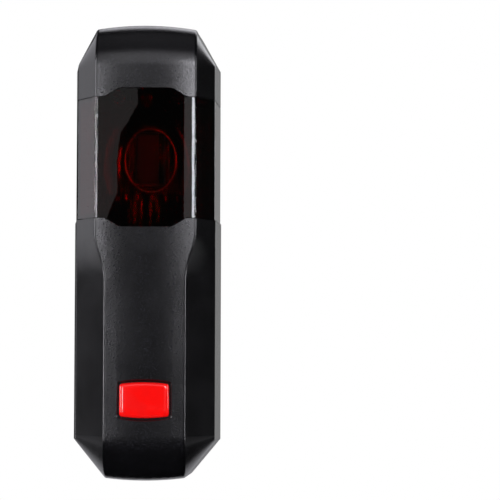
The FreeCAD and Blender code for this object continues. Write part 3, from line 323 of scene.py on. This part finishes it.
# Lens ring: the rounded bead that frames the lens on the flat of the head.
# Plated bright and worn a little dull, and pressed on round the lens.
PLATED, PLATED_DULL = (0.42, 0.42, 0.43), (0.34, 0.34, 0.35)
ring_plated, tree, shader = finish("ring_plated", {"Metallic": 1.0})
dulled = use(tree, flow_mottle, clouds=500.0)["shade"]
tint(tree, shader, dulled, PLATED, PLATED_DULL)
polish(tree, shader, dulled, at_low=0.1, at_high=0.16)
dress(ring_plated, "lens_ring")


# Lens: a clear oval with a domed face, held by its ring in the front half of the head.
# Pressed acrylic; its index is set low, so that lamps don't mirror in it.
LENS_TINT = (0.95, 0.96, 0.97, 1.0)
lens_clear, tree, shader = finish(
    "lens_clear", {"Base Color": LENS_TINT, "Transmission Weight": 1.0, "IOR": 1.16})
polish(tree, shader, use(tree, flow_mottle, clouds=300.0)["shade"], at_low=0.0, at_high=0.03)
dress(lens_clear, "lens")


# Window: the three-sided filter that passes infrared and a little deep red.
# Dyed polycarbonate, moulded with a polished skin, caught between cap and cover.
CLEAR, DYE_RED = (1.0, 1.0, 1.0, 1.0), (0.82, 0.0, 0.05, 1.0)
smoked_red, tree, shader = finish(
    "smoked_red", {"Base Color": CLEAR, "Transmission Weight": 1.0, "IOR": 1.55})
polish(tree, shader, use(tree, flow_mottle, clouds=90.0)["shade"], at_low=0.0, at_high=0.02)
dye = put(tree, "VolumeAbsorption", {"Color": DYE_RED, "Density": 2600.0})
tree.links.new(dye.outputs["Volume"], tree.nodes["Material Output"].inputs["Volume"])
dress(smoked_red, "window")


# Top cap and front cover: the two black shells that close the column above and below the window.
# The same moulding compound and the same tooling finish as the base, and one screw each.
dress(housing_black, "top_cap", "front_cover")


# Badge: a bare red pillow with bowed upper and lower edges, pressed into the cover's recess.
# Solid-coloured acrylic with a polished face, whose full soft border stands in for the plainer
# CAD blank.
BADGE_RED, BADGE_DEEP = (0.77, 0.0035, 0.0028), (0.70, 0.003, 0.0025)
BADGE_BOW, BADGE_CORNER, BADGE_DOME = 0.0005, 0.0008, 0.062
BORDER_SHARE, BORDER_DEPTH = 0.17, 0.0008
CORNER_STEPS, EDGE_STEPS, BORDER_STEPS, FACE_STEPS = 8, 12, 12, 6
CORNERS = ((1, 1, 0), (-1, 1, 90), (-1, -1, 180), (1, -1, 270))

badge_red, tree, shader = finish("badge_red")
flow = use(tree, flow_mottle, clouds=120.0)["shade"]
tint(tree, shader, flow, BADGE_RED, BADGE_DEEP)
polish(tree, shader, flow, at_low=0.1, at_high=0.16)

blank_low, blank_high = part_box("badge")
half_wide = (blank_high.x - blank_low.x) / 2
half_tall = (blank_high.z - blank_low.z) / 2 - BADGE_BOW
middle = (blank_low + blank_high) / 2

# Outline seen from the front: four round corners, with the upper and lower edges divided and bowed
outline = []
for side_x, side_z, start in CORNERS:
    for step in range(CORNER_STEPS + 1):
        angle = math.radians(start + 90 * step / CORNER_STEPS)
        outline.append((side_x * (half_wide - BADGE_CORNER) + BADGE_CORNER * math.cos(angle),
                        side_z * (half_tall - BADGE_CORNER) + BADGE_CORNER * math.sin(angle)))
    if side_x == side_z:
        last_x, last_z = outline[-1]
        outline += [(last_x * (1 - 2 * step / EDGE_STEPS), last_z) for step in range(1, EDGE_STEPS)]
outline = [(x, z * (1 + BADGE_BOW / half_tall * (1 - (x / half_wide) ** 2))) for x, z in outline]

# Rings from the flat back over the border to the crown: share of the outline, depth behind the dome
profile = [(1.0, None)]
for step in range(BORDER_STEPS + 1):
    angle = math.radians(90 * step / BORDER_STEPS)
    profile.append((1 - BORDER_SHARE * (1 - math.cos(angle)), BORDER_DEPTH * (1 - math.sin(angle))))
for step in range(1, FACE_STEPS):
    profile.append(((1 - BORDER_SHARE) * (1 - step / FACE_STEPS), 0.0))

points = []
for share, depth in profile:
    for x, z in outline:
        flat_x, flat_z = x * share, z * share
        dome = (flat_x ** 2 + flat_z ** 2) / (2 * BADGE_DOME)
        y = blank_high.y if depth is None else blank_low.y + depth + dome
        points.append((middle.x + flat_x, y, middle.z + flat_z))
points.append((middle.x, blank_low.y, middle.z))

around = len(outline)
inner = (len(profile) - 1) * around
crown = len(points) - 1
faces = [tuple(reversed(range(around)))]
for ring in range(0, inner, around):
    for step in range(around):
        here, beside = ring + step, ring + (step + 1) % around
        faces.append((here, beside, beside + around, here + around))
faces += [(inner + step, inner + (step + 1) % around, crown) for step in range(around)]

pillow_mesh = bpy.data.meshes.new("badge_pillow")
pillow_mesh.from_pydata(points, [], faces)
pillow_mesh.materials.append(badge_red)
pillow_mesh.shade_smooth()
pillow = bpy.data.objects.new("badge_pillow", pillow_mesh)
bpy.context.scene.collection.objects.link(pillow)
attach(pillow, "housing")
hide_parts("badge")


# Stage: a pale matt floor well below the part and a glowing sweep behind it to the right, which
# is hidden from the camera and shows in the part's gloss and through its window. The studio round
# them is white to the camera, nearly black in reflections, and gives matt surfaces soft light.
WHITE, BLACK = (1.0, 1.0, 1.0, 1.0), (0.0, 0.0, 0.0, 1.0)
FLOOR_PALE, FLOOR_PALER = (0.80, 0.80, 0.80), (0.84, 0.84, 0.84)
FLOOR_Z, FLOOR_REACH = -0.30, 4.0
SWEEP_Y, SWEEP_WIDE, SWEEP_TOP = 2.4, 2.1, 2.2
SHADED, LIT = (0.34, 0.34, 0.34), (1.0, 1.0, 1.0)
SHADE_START, SHADE_END = 0.7, 1.3
SWEEP_DIM, STUDIO_DIM, STUDIO_SOFT = 0.3, 0.015, 0.11


def panel(name, corners, material):
    """A flat stage panel."""
    mesh = bpy.data.meshes.new(name)
    mesh.from_pydata(corners, [], [tuple(range(len(corners)))])
    mesh.materials.append(material)
    board = bpy.data.objects.new(name, mesh)
    bpy.context.scene.collection.objects.link(board)
    return board


def level(half_wide, front, back, height):
    """The corners of a level board."""
    return [(-half_wide, front, height), (half_wide, front, height),
            (half_wide, back, height), (-half_wide, back, height)]


floor_pale, tree, shader = finish("floor_pale", {"Roughness": 0.7})
tint(tree, shader, use(tree, flow_mottle, clouds=3.0)["shade"], FLOOR_PALE, FLOOR_PALER)
panel("floor", level(FLOOR_REACH, -FLOOR_REACH, SWEEP_Y, FLOOR_Z), floor_pale)

sweep_white, tree, shader = finish("sweep_white", {"Base Color": BLACK})
along = put(tree, "SeparateXYZ")
tree.links.new(put(tree, "TexCoord").outputs["Object"], along.inputs["Vector"])
rightward = ramp(tree, along.outputs["X"], SHADE_START, SHADE_END)
tree.links.new(blend(tree, rightward, SHADED, LIT), shader.inputs["Emission Color"])
path = put(tree, "LightPath").outputs
mirrored = sums(tree, "MAXIMUM", path["Is Glossy Ray"], path["Is Transmission Ray"])
tree.links.new(ramp(tree, mirrored, 0.0, 1.0, SWEEP_DIM, 1.0), shader.inputs["Emission Strength"])
sweep = panel("sweep", [(0.0, SWEEP_Y, FLOOR_Z), (SWEEP_WIDE, SWEEP_Y, FLOOR_Z),
                        (SWEEP_WIDE, SWEEP_Y, SWEEP_TOP), (0.0, SWEEP_Y, SWEEP_TOP)], sweep_white)
sweep.visible_camera = False

world = bpy.data.worlds.new("studio")
bpy.context.scene.world = world
world.use_nodes = True
tree = world.node_tree
sky = tree.nodes["Background"]
sky.inputs["Color"].default_value = WHITE
path = put(tree, "LightPath").outputs
white = ramp(tree, path["Is Camera Ray"], 0.0, 1.0, STUDIO_DIM, 1.0)
soft = sums(tree, "MULTIPLY", path["Is Diffuse Ray"], STUDIO_SOFT)
tree.links.new(sums(tree, "MAXIMUM", white, soft), sky.inputs["Strength"])
world.cycles.sampling_method = "NONE"


# Cards: glowing white boards in front of the part that show in its polished window as a veil.
# They stand behind the camera, which never sees them, and the left one is cut along the edge
# that its veil has in the window.
CARD_Y, CARD_TOP, CARD_FAR = -1.5, 1.2, -2.4
VEIL_EDGE = ((-0.13, 0.21), (-0.32, 0.18), (-0.355, 0.155), (-0.34, 0.126), (-0.43, 0.107), (-0.5, 0.09),
             (-0.55, 0.0))
STRIP_NEAR, STRIP_FAR = 0.36, 0.56


def card(name, corners, radiance):
    """A glowing board in the plane of the cards, given by the corners of its outline."""
    glow, _, _ = finish(
        name, {"Base Color": BLACK, "Emission Color": WHITE, "Emission Strength": radiance})
    panel(name, [(x, CARD_Y, z) for x, z in corners], glow).visible_camera = False


veil_top, veil_foot = VEIL_EDGE[0][0], VEIL_EDGE[-1][0]
card("card_left", [(veil_top, CARD_TOP), *VEIL_EDGE, (veil_foot, FLOOR_Z), (CARD_FAR, FLOOR_Z),
                   (CARD_FAR, CARD_TOP)], radiance=0.3)
card("card_right", [(STRIP_NEAR, FLOOR_Z), (STRIP_NEAR, CARD_TOP), (STRIP_FAR, CARD_TOP),
                    (STRIP_FAR, FLOOR_Z)], radiance=0.6)


# Flag: a dead black board under the part that keeps the floor's glare off its lower roll.
# Only reflections see it: it casts no shadow and hides nothing from the camera.
FLAG_Z, FLAG_WIDE, FLAG_FRONT, FLAG_BACK = -0.17, 0.5, -1.1, 0.13
flag_black, _, _ = finish("flag_black", {"Base Color": BLACK, "Specular IOR Level": 0.0})
flag = panel("flag", level(FLAG_WIDE, FLAG_FRONT, FLAG_BACK, FLAG_Z), flag_black)
flag.visible_camera = flag.visible_shadow = flag.visible_diffuse = flag.visible_transmission = False


# Lamps: slightly cool soft boxes round the part, each aimed at the middle of its back.
# All but the four behind the part have a grid that narrows their beam. The camera sees none of
# them, and reflections don't see the one over the rear floor.
GRID, OPEN = math.radians(50), math.radians(90)
DAYLIGHT = (0.99, 0.98, 1.05)


def softbox(name, at, size, radiance, grid=GRID):
    """A soft area lamp of a width and height, with the radiance of its face straight ahead.

    at is its azimuth, from the front to the right, and elevation in degrees, then its distance.
    """
    azimuth, elevation, distance = at
    width, height = size
    lamp = bpy.data.lights.new(name, "AREA")
    lamp.shape = "RECTANGLE"
    lamp.size, lamp.size_y = width, height
    lamp.spread = 2 * grid
    lamp.color = DAYLIGHT
    let_through = 1 - grid / math.tan(grid)
    lamp.energy = radiance * math.pi * width * height * let_through
    across, up = math.radians(azimuth), math.radians(elevation)
    away = Vector((math.sin(across) * math.cos(up), -math.cos(across) * math.cos(up), math.sin(up)))
    stand = bpy.data.objects.new(name, lamp)
    stand.location = away * distance
    stand.rotation_euler = away.to_track_quat("Z", "Y").to_euler()
    stand.visible_camera = False
    bpy.context.scene.collection.objects.link(stand)
    return stand


softbox("key_right", at=(25, 13, 1.2), size=(0.34, 0.4), radiance=15.0)
softbox("fill_left", at=(-29, 2, 1.4), size=(0.16, 0.5), radiance=30.0)
softbox("side_right", at=(75, 8, 1.3), size=(0.11, 0.7), radiance=26.0)
softbox("side_left", at=(-76, 8, 1.3), size=(0.13, 0.7), radiance=34.0)
softbox("wall_left", at=(-131, 5, 1.6), size=(1.4, 2.0), radiance=0.85, grid=OPEN)
softbox("top_front", at=(2, 28, 1.3), size=(1.1, 0.8), radiance=1.35)
softbox("wall_right", at=(147, 14, 1.6), size=(0.45, 0.5), radiance=1.6, grid=OPEN)
softbox("overhead", at=(0, 78, 1.3), size=(1.2, 1.2), radiance=0.2)
softbox("rear_high", at=(170, 42, 1.7), size=(1.0, 0.8), radiance=1.5, grid=OPEN)
rear_floor = softbox("rear_floor", at=(180, 62, 1.9), size=(1.6, 1.6), radiance=1.5, grid=OPEN)
rear_floor.visible_glossy = False


# Camera: in front of the part, a little to its right and below its middle, with a long lens.
# It looks up slightly, without shift or depth of field.
LONG_LENS = 153.4
CAMERA_PLACE = (0.0196, -0.654, -0.028)
CAMERA_TURN = (92.6, -0.18, -1.02)
CLIP_NEAR, CLIP_FAR = 0.05, 20.0
camera = bpy.data.objects.new("camera", bpy.data.cameras.new("camera"))
camera.data.lens = LONG_LENS
camera.data.clip_start, camera.data.clip_end = CLIP_NEAR, CLIP_FAR
camera.location = CAMERA_PLACE
camera.rotation_euler = [math.radians(angle) for angle in CAMERA_TURN]
bpy.context.scene.collection.objects.link(camera)
bpy.context.scene.camera = camera
bpy.context.scene.view_settings.view_transform = "Standard"
